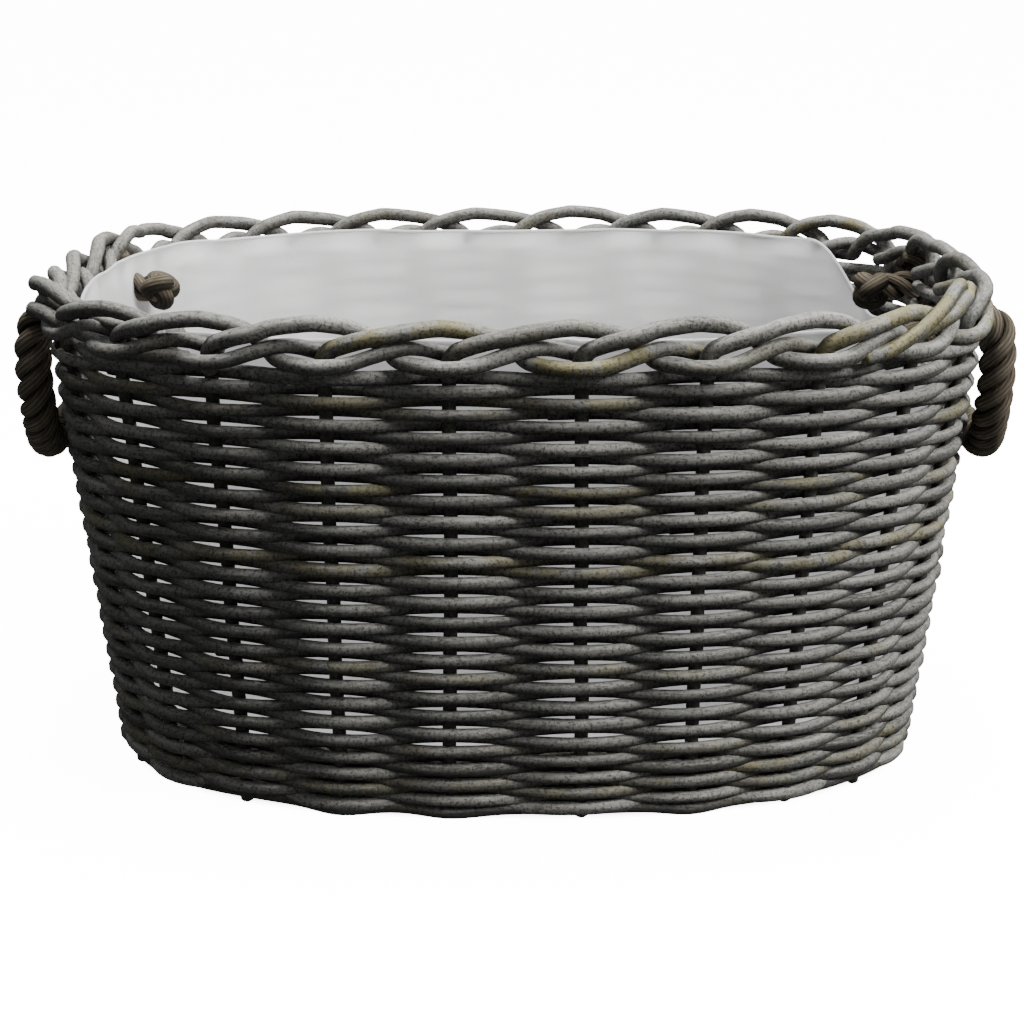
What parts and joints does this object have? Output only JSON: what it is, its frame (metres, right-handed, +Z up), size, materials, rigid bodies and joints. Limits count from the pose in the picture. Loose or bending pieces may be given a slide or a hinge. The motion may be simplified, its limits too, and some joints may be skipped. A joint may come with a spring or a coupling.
{
  "type": "wicker log basket",
  "caption": "Oval flared willow basket with a looped rod border, a cloth liner and a hanging rope handle at each end.",
  "frame": {"origin": "centre of the outline at floor level", "axes": "+X along the length towards one handle, +Y across towards the back, +Z up"},
  "size_m": [0.6124, 0.4366, 0.3207],
  "materials": {
    "weave_willow": "weathered matt",
    "stake_willow": "weathered matt",
    "border_willow": "weathered matt",
    "base_willow": "weathered matt",
    "liner_cloth": "smooth matt",
    "rope_fibre": "coarse twisted"
  },
  "bodies": {
    "basket": {"stakes_front": "stake_willow", "stakes_back": "stake_willow", "stakes_ends": "stake_willow", "foot_rows": "weave_willow", "lower_rows": "weave_willow", "middle_rows": "weave_willow", "upper_rows": "weave_willow", "top_rows": "weave_willow", "border_rods_front": "border_willow", "border_rods_back": "border_willow", "base_cross_sticks": "base_willow", "base_long_sticks": "base_willow", "base_rounds": "base_willow", "base_edge_rods": "base_willow", "liner_wall": "liner_cloth", "liner_floor": "liner_cloth", "rope_ends_left": "rope_fibre", "rope_ends_right": "rope_fibre"},
    "handle_left": {"rope_handle_left": "rope_fibre"},
    "handle_right": {"rope_handle_right": "rope_fibre"}
  },
  "joints": [
    {"name": "left_handle_swing", "type": "hinge", "parent": "basket", "child": "handle_left", "pos_m": [-0.29616, 0, 0.2844], "axis": [0, 1, 0], "range_deg": [0, 175]},
    {"name": "right_handle_swing", "type": "hinge", "parent": "basket", "child": "handle_right", "pos_m": [0.29616, 0, 0.2844], "axis": [0, -1, 0], "range_deg": [0, 175]}
  ]
}
